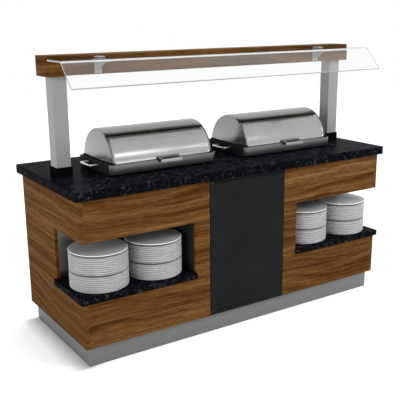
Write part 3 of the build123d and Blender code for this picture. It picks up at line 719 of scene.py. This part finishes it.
def base_shape(centre, low_z, high_z):
    """Water tray as one closed skin: floor, lower edge, wall, upper edge, rim, mouth and the same way back.

    The rim's cells between the slot stops are left out where the cover's arms pass, and each slot gets walls.
    """
    half_x, half_y = BASE_HALF
    corner = BASE_CORNER
    wall = BASE_WALL

    def ring(inset, z):
        """Outline at a height, drawn in all round."""
        return half_x - inset, half_y - inset, corner - inset, z

    turn = np.linspace(0, np.pi / 2, 7)
    shares = list(zip(1 - np.sin(turn), 1 - np.cos(turn)))
    low = [ring(BASE_LOW_ROUND * inward, low_z + BASE_LOW_ROUND * up) for inward, up in shares]
    top = [ring(BASE_TOP_ROUND * inward, high_z - BASE_TOP_ROUND * down) for inward, down in shares[::-1]]
    rim = [(x, half_y - half_x + x, corner, high_z) for x in SLOT_X[::-1]]
    rim.append((*BASE_MOUTH, high_z))
    under = [(x, y, c, z - wall) for x, y, c, z in rim[::-1]]
    inside = [ring(wall, high_z - wall)]
    inside += [(x - wall, y - wall, c - wall, z + wall) for x, y, c, z in low[::-1]]
    sections = [middle_point(low_z), *low, *top, *rim, *under, *inside, middle_point(low_z + wall)]
    points = loft(sections, centre, stops=(-SLOT_REACH, SLOT_REACH))
    nearby = np.roll(points, -1, axis=1)
    middle = np.abs((points[1:] + points[:-1] + nearby[1:] + nearby[:-1]) / 4 - np.asarray(centre))
    in_slot = (middle[..., 0] > SLOT_X[0]) & (middle[..., 0] < SLOT_X[1]) & (middle[..., 1] < SLOT_REACH)
    skin = grid(points, close_columns=True, keep=~in_slot)
    reach = (centre[1] - SLOT_REACH, centre[1] + SLOT_REACH)
    slots = []
    for side in (-1, 1):
        x = [centre[0] + side * edge for edge in SLOT_X]
        slots.append(upright_walls(x, reach, (high_z - wall, high_z)))
    return join(skin, *slots)


def seal_shape(low, high):
    """Rubber seal: a rounded strip along the hood's ends and back, open in front."""
    half_width, half_height = SEAL_HALF
    x = (high[0] - low[0]) / 2 + SEAL_PROUD - half_width
    back = high[1] + SEAL_PROUD - half_width
    left = bent((-x, low[1]), (-x, back), (0, back), SEAL_CORNER)
    level = np.concatenate([left, (left * (-1, 1))[-2::-1]])
    path = np.column_stack([level, np.full(len(level), low[2] + half_height)])
    skin = sweep(path, round_bar(half_width, half_height, power=0.6))
    tips = np.broadcast_to(path[:, None], skin.shape)
    skin = np.concatenate([tips[:1], skin, tips[-1:]])
    return moved(grid(skin, close_columns=True), ((low[0] + high[0]) / 2, 0, 0))


def grip_shape(centre, side, height, reach):
    """Carrying grip: a flat rounded bar along a U-shaped path that starts and ends in the end wall."""
    half = (GRIP_WIDTH - GRIP_BAR) / 2
    corner = GRIP_CORNER - GRIP_BAR / 2
    tip = reach - GRIP_BAR / 2
    turn = np.linspace(0, np.pi / 2, 9)
    root = np.linspace(BASE_HALF[0] - BASE_WALL, tip - corner, 5)[:-1]
    x = np.concatenate([root, tip - corner + corner * np.sin(turn)])
    y = np.concatenate([np.full(len(root), -half), corner - half - corner * np.cos(turn)])
    path = np.column_stack([np.append(x, x[::-1]), np.append(y, -y[::-1]), np.zeros(2 * len(x))])
    path[:, 0] *= side
    section = round_bar(GRIP_BAR / 2, GRIP_THICKNESS / 2)
    skin = grid(sweep(path, section), close_columns=True)
    return moved(skin, (centre[0], centre[1], height))


def pan_shape(centre, low_z, high_z, half_length, half_width):
    """Food pan as one closed skin: rim, walls that taper to a round-edged floor, and back underneath."""
    half_x, half_y, corner = PAN_BODY
    turn = np.linspace(0, np.pi / 2, 6)
    bend = PAN_FLOOR_ROUND
    floor = low_z + PAN_WALL
    inside = [(half_x - PAN_WALL, half_y - PAN_WALL, corner - PAN_WALL, high_z)]
    for i, r in zip(bend * (1 - np.sin(turn[::-1])), bend * (1 - np.cos(turn[::-1]))):
        inset = PAN_WALL + PAN_TAPER + i
        inside.append((half_x - inset, half_y - inset, corner - PAN_WALL, floor + r))
    under = [(x + PAN_WALL, y + PAN_WALL, c + PAN_WALL, z - PAN_WALL) for x, y, c, z in inside[::-1]]
    rim = [(half_length, half_width, corner, high_z - PAN_WALL), (half_length, half_width, corner, high_z)]
    sections = [*rim, *inside, middle_point(floor), middle_point(low_z), *under, rim[0]]
    return grid(loft(sections, centre), close_columns=True)


# Plates

def round_lip(radius, top, height):
    """Half circle that bulges outward to the radius, from below up to the top."""
    turn = np.linspace(-np.pi / 2, np.pi / 2, 7)
    half = height / 2
    return radius - half + half * np.cos(turn), top - half + half * np.sin(turn)


def stack_place(low, high):
    """Centre of a stack's foot, the radius of its plates and its height."""
    centre = ((low[0] + high[0]) / 2, (low[1] + high[1]) / 2, low[2])
    return centre, (high[0] - low[0]) / 2 - PLATE_SHIFT, high[2] - low[2]


def plate_stack_shape(low, high, shifts):
    """Nested plates below the top one, turned as one skin: a round lip for each and an undercut below it.

    Below the plate at the break the undercut is deeper, and the plate under it and the topmost one sit lower
    and show their hollow.
    """
    centre, radius, height = stack_place(low, high)
    pitch = height / PLATE_COUNT
    level = np.arange(PLATE_COUNT - 1)[:, None]
    loose = level == PLATE_BREAK
    top = pitch - BREAK_DROP * (level == PLATE_BREAK - 1) - TOP_DROP * (level == PLATE_COUNT - 2)
    lip = np.where(loose, BREAK_LIP, PLATE_LIP - pitch + top)
    undercut = radius - np.where(loose, BREAK_UNDERCUT, PLATE_UNDERCUT)
    lip_r, lip_z = round_lip(radius, top, lip)
    stack_r = np.concatenate([undercut, undercut, lip_r], axis=1)
    floor = PLATE_CLEAR - BREAK_HOLLOW * loose
    stack_z = level * pitch + np.concatenate([floor, top - lip - PLATE_CLEAR, lip_z], axis=1)
    hollow = len(level) * pitch - BREAK_HOLLOW
    profile = np.concatenate([
        [(POINT, 0), (radius * PLATE_FOOT, 0)],
        np.column_stack([stack_r.ravel(), stack_z.ravel()]),
        [(radius - BREAK_UNDERCUT, hollow), (POINT, hollow)],
    ])
    shift = np.repeat(shifts[:-1], stack_r.shape[1], axis=0)
    shift = np.concatenate([shift[:1], shift[:1], shift, shift[-1:], shift[-1:]])
    return lathe(profile, centre, PLATE_SPOKES, shift)


def top_rim_shape(low, high, shift):
    """Ring with a round section over the uppermost plate's lip; it carries the paler china of a painted
    highlight.
    """
    centre, radius, height = stack_place(low, high)
    half = TOP_LIP / 2
    around = np.linspace(0, 2 * np.pi, 12, endpoint=False)
    profile = np.column_stack([radius - half + half * np.cos(around), height - half + half * np.sin(around)])
    return lathe(profile, centre, PLATE_SPOKES, shift, close_rows=True)


def top_plate_shape(low, high, shift):
    """Uppermost plate, turned: foot, sloped underside, round lip and well.

    The well rises from its middle with the square of the radius.
    """
    centre, radius, height = stack_place(low, high)
    radius -= RIM_COVER
    foot = height * (PLATE_COUNT - 1) / PLATE_COUNT - BREAK_HOLLOW + TOP_SEAT
    flare = (radius * (PLATE_FOOT + TOP_FLARE), height - TOP_LIP - TOP_STEP)
    share = np.linspace(WELL_FROM, 0.0001, 10)
    profile = np.concatenate([
        [(POINT, foot), (radius * PLATE_FOOT, foot), flare],
        np.column_stack(round_lip(radius, height - RIM_COVER, TOP_LIP - 2 * RIM_COVER)),
        np.column_stack([share * (radius - TOP_LIP / 2), height - TOP_WELL * (1 - share**2)]),
    ])
    return lathe(profile, centre, PLATE_SPOKES, shift)


# Glass guard

def glass_shape(low, high):
    """Middle face of the bent sheet: level, a round bend, then a slope down, drawn along the counter."""
    run, fall = GLASS_SLOPE
    slope = math.atan2(fall, run)
    half = GLASS_THICKNESS / 2
    level = high[2] - half
    toe = (low[1] + half * math.sin(slope), low[2] + half * math.cos(slope))
    corner = (toe[0] + (level - toe[1]) * run / fall, level)
    path = bent((high[1], level), corner, toe, GLASS_BEND_RADIUS, steps=17)
    x = np.linspace(low[0], high[0], 15)
    points = np.stack(np.broadcast_arrays(x[:, None], path[:, 0], path[:, 1]), -1)
    return grid(points)


# Screws

def screw_shape():
    """Button-head screw on the ground plane: a dome turned about Z, and a six-sided socket in its top."""
    angle = np.linspace(0, 2 * np.pi, 24, endpoint=False)
    turn = np.linspace(0, np.pi / 2, 5)
    land = SCREW_SOCKET * SCREW_LAND
    dome_r = land + (SCREW_RADIUS - land) * np.cos(turn)
    dome_z = SCREW_HEIGHT * (SCREW_SIDE + (1 - SCREW_SIDE) * np.sin(turn))
    six = SCREW_SOCKET * np.cos(np.pi / 6) / np.cos((angle % (np.pi / 3)) - np.pi / 6)
    floor = SCREW_HEIGHT * SCREW_FLOOR
    rings = [POINT, SCREW_RADIUS, *dome_r, six, six, POINT]
    radius = np.stack([np.broadcast_to(ring, angle.shape) for ring in rings])
    heights = np.array([0, 0, *dome_z, SCREW_HEIGHT, floor, floor])
    z = np.broadcast_to(heights[:, None], radius.shape)
    return grid(np.stack([radius * np.cos(angle), radius * np.sin(angle), z], -1), close_columns=True)


# Studio

def reckon(tree, operation, *values):
    """One step of arithmetic in a node tree; each value is a number or another node's output."""
    return add_node(tree, "ShaderNodeMath", dict(enumerate(values)), operation=operation).outputs[0]


def ray_share(tree):
    """1 for rays that show the background itself: seen directly, mirrored or through glass."""
    path = add_node(tree, "ShaderNodeLightPath").outputs
    seen = reckon(tree, "MAXIMUM", path["Is Camera Ray"], path["Is Glossy Ray"])
    return reckon(tree, "MAXIMUM", seen, path["Is Transmission Ray"])


def painted_floor_shadow(tree):
    """Painted shadow on the floor, as a share of light left: least at the plinth's left end, all of it past
    the reach.
    """
    place = add_node(tree, "ShaderNodeTexCoord").outputs["Object"]
    split = add_node(tree, "ShaderNodeSeparateXYZ", {0: place}).outputs
    edge_x, edge_y = SHADE_EDGE
    off_x = reckon(tree, "ABSOLUTE", reckon(tree, "SUBTRACT", split["X"], edge_x * MM))
    past_y = reckon(tree, "SUBTRACT", reckon(tree, "ABSOLUTE", split["Y"]), edge_y * MM)
    shares = []
    for distance, reach in ((off_x, SHADE_REACH), (past_y, SHADE_SOFT)):
        fall = {"Value": distance, "From Max": reach * MM, "To Min": 1, "To Max": 0}
        shares.append(add_node(tree, "ShaderNodeMapRange", fall).outputs["Result"])
    shade = reckon(tree, "MULTIPLY", *shares)
    return reckon(tree, "SUBTRACT", 1, reckon(tree, "MULTIPLY", shade, SHADE_DEPTH))


def set_world():
    """White behind the object, and an even soft light from all round."""
    world = bpy.data.worlds.new("studio")
    bpy.context.scene.world = world
    world.use_nodes = True
    tree = world.node_tree
    background = tree.nodes["Background"]
    background.inputs["Color"].default_value = (1, 1, 1, 1)
    span = {"Value": ray_share(tree), "To Min": WORLD_LIGHT, "To Max": 1}
    strength = add_node(tree, "ShaderNodeMapRange", span).outputs["Result"]
    tree.links.new(strength, background.inputs["Strength"])


def floor_material():
    """Pale floor that takes the shadow, plus a painted shadow by the plinth's left end; its own glow, seen
    only as background, lifts it to white.
    """
    finish = Finish("studio_floor", {"Roughness": 1, "Specular IOR Level": 0, "Emission Color": (1, 1, 1, 1)})
    light = painted_floor_shadow(finish.tree)
    glow = reckon(finish.tree, "MULTIPLY", ray_share(finish.tree), FLOOR_GLOW)
    finish.feed("Base Color", reckon(finish.tree, "MULTIPLY", light, FLOOR_ALBEDO))
    finish.feed("Emission Strength", reckon(finish.tree, "MULTIPLY", glow, light))
    return finish.material


def set_floor():
    """Wide square floor, which belongs to the stage and not to the object."""
    ends = np.array([-FLOOR_HALF, FLOOR_HALF], float)
    x, y = np.meshgrid(ends, ends, indexing="ij")
    points, cells = grid(np.stack([x, y, np.zeros_like(x)], -1))
    mesh = bpy.data.meshes.new("studio_floor")
    mesh.from_pydata((points * MM).tolist(), [], cells[:, ::-1].tolist())
    mesh.materials.append(floor_material())
    floor = bpy.data.objects.new("studio_floor", mesh)
    bpy.context.scene.collection.objects.link(floor)


def add_lamp(name, place, size, level, reflected):
    """Square soft box that faces the aim point; level is the light that it gives there, where 1 is plain.

    Polished metal shows a reflected one as a highlight.
    """
    data = bpy.data.lights.new(name, "AREA")
    data.size = size * MM
    lamp = bpy.data.objects.new(name, data)
    to_aim = (Vector(AIM) - Vector(place)) * MM
    data.energy = level * math.pi**2 * to_aim.length_squared
    lamp.location = Vector(place) * MM
    lamp.rotation_euler = to_aim.to_track_quat("-Z", "Y").to_euler()
    lamp.visible_camera = False
    lamp.visible_glossy = reflected
    lamp.visible_transmission = False
    bpy.context.scene.collection.objects.link(lamp)


def add_sun():
    """Broad overhead light, a little from the right, for even soft shadows."""
    data = bpy.data.lights.new("overhead_light", "SUN")
    data.angle = math.radians(SUN_SPREAD)
    data.energy = SUN_LEVEL * math.pi
    lamp = bpy.data.objects.new("overhead_light", data)
    lamp.rotation_euler = Vector(SUN_TOWARDS).to_track_quat("Z", "Y").to_euler()
    lamp.visible_glossy = False
    lamp.visible_transmission = False
    bpy.context.scene.collection.objects.link(lamp)


def set_camera():
    """Camera that looks at the target from its azimuth and elevation, turned about its axis by the roll."""
    turn = Matrix.Rotation(math.radians(CAMERA_AZIMUTH), 4, "Z")
    tilt = Matrix.Rotation(math.radians(90 - CAMERA_ELEVATION), 4, "X")
    roll = Matrix.Rotation(math.radians(CAMERA_ROLL), 4, "Z")
    facing = turn @ tilt @ roll
    data = bpy.data.cameras.new("camera")
    data.lens = CAMERA_LENS
    camera = bpy.data.objects.new("camera", data)
    back = facing.to_3x3() @ Vector((0, 0, CAMERA_DISTANCE))
    place = (Vector(CAMERA_TARGET) + back) * MM
    camera.matrix_world = Matrix.Translation(place) @ facing
    bpy.context.scene.collection.objects.link(camera)
    bpy.context.scene.camera = camera


# Studio and camera
set_world()
set_floor()
add_sun()
for name, lamp in LAMPS.items():
    add_lamp(name, *lamp)
set_camera()
bpy.context.scene.view_settings.view_transform = "Standard"

# Finishes
steel = polished("polished_steel", (0.40, 0.40, 0.395), 0.22)
# Darker copy of the polished steel for the hood: painted shade
hood_steel_painted_shade = polished("hood_steel_painted_shade", (0.265, 0.265, 0.26), 0.2)
# Darker copy of the polished steel for the water tray: painted shade
base_steel_painted_shade = polished("base_steel_painted_shade", grey(0.19), 0.3)
# Near-black matt for the tray's end walls: painted shade
tray_end_painted_shade = matt("tray_end_painted_shade", grey(0.016), 0.5)
# Paler copy of the polished steel for the tray's grips: painted highlight
grip_steel_painted_highlight = polished("grip_steel_painted_highlight", (0.72, 0.72, 0.715), 0.3)
handle_steel = polished("handle_steel", (0.36, 0.36, 0.355), 0.3)
dull_steel = brushed("hood_lining", grey(0.30), (6, 220, 220), rough=(0.45, 0.6))
pan_steel = brushed("pan_steel", (0.50, 0.50, 0.49), (5, 260, 260), rough=(0.26, 0.38))
# Near-black copy of the fitting steel for the door pivots: painted shade
pivot_steel_painted_shade = brushed("pivot_steel_painted_shade", grey(0.08), (260, 260, 12), rough=(0.45, 0.58))
fitting_steel = brushed("fitting_steel", grey(0.30), (260, 260, 12), rough=(0.45, 0.58))
bracket_satin = brushed("bracket_satin", grey(0.42), (260, 260, 12), metallic=0.3, rough=(0.45, 0.58))
post_satin = brushed("post_satin", grey(0.28), (420, 420, 3), metallic=0.1, rough=(0.5, 0.62), contrast=0.05)
plinth_satin = brushed("plinth_satin", grey(0.15), (4, 4, 500), metallic=0, rough=(0.4, 0.52))
heater_metal = brushed("heater_metal", (0.33, 0.33, 0.32), (8, 300, 300))
stone = granite("black_granite")
front_wood = wood("front_wood", (3.1, 0.4, 7.0))
end_wood = wood("end_wood", (9.7, 5.2, 3.0))
beam_wood = wood("beam_wood", (1.3, 8.8, 12.0))
back_wood = wood("back_wood", (6.4, 2.9, 21.0))
door_black = matt("door_black", (0.0145, 0.0155, 0.0150), 0.55, level=0.01)
niche_grey = matt("niche_lining", grey(0.022), 0.6, level=0.01)
niche_satin = brushed("niche_satin", grey(0.30), (4, 4, 300), rough=(0.28, 0.36))
collar_black = matt("collar_black", (0.003, 0.003, 0.0035), 0.5, level=0.002)
rubber = matt("rubber", grey(0.010), 0.7, grain=900)
catch_plastic = matt("catch_plastic", (0.55, 0.55, 0.52), 0.4)
board = chipboard("chipboard")
# The stacks' china is darker than the top plate's: painted shade on the stacks' sides
stack_china_painted_shade = china("stack_china_painted_shade", 0.46, 0.13)
top_china = china("top_china", 0.66, 0.01)
# Paler china for a ring over the top plate's rim: painted highlight
rim_china_painted_highlight = china("rim_china_painted_highlight", 0.95, 0.01)
glass = clear_glass("clear_glass")
glass_edge = matt("glass_edge", (0.42, 0.43, 0.425), 0.35)

NODE_FINISHES = {
    "plinth_frame": plinth_satin,
    "base_board": board,
    "back_panel": back_wood,
    "shelf_battens": board,
    "counter_board": board,
    "counter_top": stone,
    "door_rails": door_black,
    "door": door_black,
    # The door pivots take the near-black steel copy: painted shade
    "door_pivots": pivot_steel_painted_shade,
    "door_catch": catch_plastic,
    "post_bearers": board,
    "post_collars": collar_black,
    "canopy_beam": beam_wood,
    "canopy_floor": beam_wood,
    "glass_pads": rubber,
    "chafer_feet": rubber,
    "cover_pivots": fitting_steel,
}
SIDE_FINISHES = {
    "end_panel": end_wood,
    "front_panel": front_wood,
    "partition": niche_grey,
    "niche_back": niche_satin,
    "niche_ceiling": niche_grey,
    "niche_shelf": stone,
    "post": post_satin,
    "glass_bracket": bracket_satin,
    "heater_plate": heater_metal,
}
for side in SIDES:
    NODE_FINISHES.update({f"{side}_{node}": finish for node, finish in SIDE_FINISHES.items()})
for node, finish in NODE_FINISHES.items():
    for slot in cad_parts[node].material_slots:
        slot.material = finish

# Chafing dishes
for side in SIDES:
    hood_low, hood_high = box_mm(f"{side}_hood")
    middle = (hood_low + hood_high) / 2
    axis = (middle[0], middle[1], hood_high[2] - HOOD_RADIUS)
    half_length = middle[0] - hood_low[0]
    seal_low, seal_high = box_mm(f"{side}_hood_gasket")
    hood = hood_shape(axis, half_length, seal_low[2] + 2 * SEAL_HALF[1])
    # The hood takes the darker copy of the steel: painted shade
    make_piece(f"{side}_hood_shell", hood, [hood_steel_painted_shade, dull_steel], "station",
               [f"{side}_hood"], wall=HOOD_WALL)

    make_piece(f"{side}_hood_seal", seal_shape(seal_low, seal_high), [rubber], "station",
               [f"{side}_hood_gasket"])

    cover_low, cover_high = box_mm(f"{side}_roll_cover")
    cover_half = (cover_high[0] - cover_low[0]) / 2
    handle_low, handle_high = box_mm(f"{side}_cover_handle")
    cover = cover_shape(axis, cover_half, seal_low[2] + COVER_LIFT)
    make_piece(f"{side}_cover_sheet", cover, [steel], f"{side}_cover",
               [f"{side}_roll_cover"], wall=COVER_WALL, wall_offset=0)
    handle = handle_shape(handle_low, handle_high)
    make_piece(f"{side}_cover_grip", handle, [handle_steel], f"{side}_cover",
               [f"{side}_cover_handle"], wall=HANDLE_PLATE, wall_offset=0, edge=HANDLE_EDGE)

    base_low, base_high = box_mm(f"{side}_chafer_base")
    base = base_shape(middle, base_low[2], base_high[2])
    reach = (base_high[0] - base_low[0]) / 2
    grip_z = base_high[2] - GRIP_DROP - GRIP_THICKNESS / 2
    grips = [grip_shape(middle, turn, grip_z, reach) for turn in (-1, 1)]
    # The tray takes the darker steel, and its end walls the near-black finish: both are painted shade
    tray = make_piece(f"{side}_water_tray", base, [base_steel_painted_shade, tray_end_painted_shade], "station",
                      [f"{side}_chafer_base"])
    paint_shade_on_tray_ends(tray, middle)
    # The grips take the paler copy of the steel: painted highlight
    make_piece(f"{side}_tray_grips", join(*grips), [grip_steel_painted_highlight], "station")

    pan_low, pan_high = box_mm(f"{side}_food_pan")
    pan_half = (pan_high - pan_low) / 2
    pan = pan_shape(middle, pan_low[2], pan_high[2], pan_half[0], pan_half[1])
    make_piece(f"{side}_pan_skin", pan, [pan_steel], "station", [f"{side}_food_pan"])

# Plates
for side in SIDES:
    for place in ("inner", "outer"):
        low, high = box_mm(f"{side}_{place}_plates")
        draw = np.random.default_rng(PLATE_SEEDS[side])
        shifts = draw.uniform(-PLATE_DRAW, PLATE_DRAW, (PLATE_COUNT, 2)) * PLATE_SHIFT
        stack = plate_stack_shape(low, high, shifts)
        # The stacks take the darker china: painted shade
        make_piece(f"{side}_{place}_china", stack, [stack_china_painted_shade], f"{side}_{place}_stack",
                   [f"{side}_{place}_plates"])
        top = top_plate_shape(low, high, shifts[-1:])
        make_piece(f"{side}_{place}_top_plate", top, [top_china], f"{side}_{place}_stack")
        # A ring over the top plate's lip carries the painted highlight
        rim = top_rim_shape(low, high, shifts[-1:])
        make_piece(f"{side}_{place}_top_rim", rim, [rim_china_painted_highlight], f"{side}_{place}_stack")

# Glass guard and its screws
glass_low, glass_high = box_mm("glass_guard")
make_piece("glass_sheet", glass_shape(glass_low, glass_high), [glass, glass_edge], "station",
           ["glass_guard"], wall=GLASS_THICKNESS, wall_offset=0, rim=1, edge=GLASS_ARRIS, sharp=GLASS_SHARP)
for side in SIDES:
    low, high = box_mm(f"{side}_glass_bracket")
    x = (low[0] + high[0]) / 2
    heads = [moved(screw_shape(), (x, high[1] - back, high[2])) for back in SCREW_BACK]
    make_piece(f"{side}_clamp_screws", join(*heads), [fitting_steel], "station")
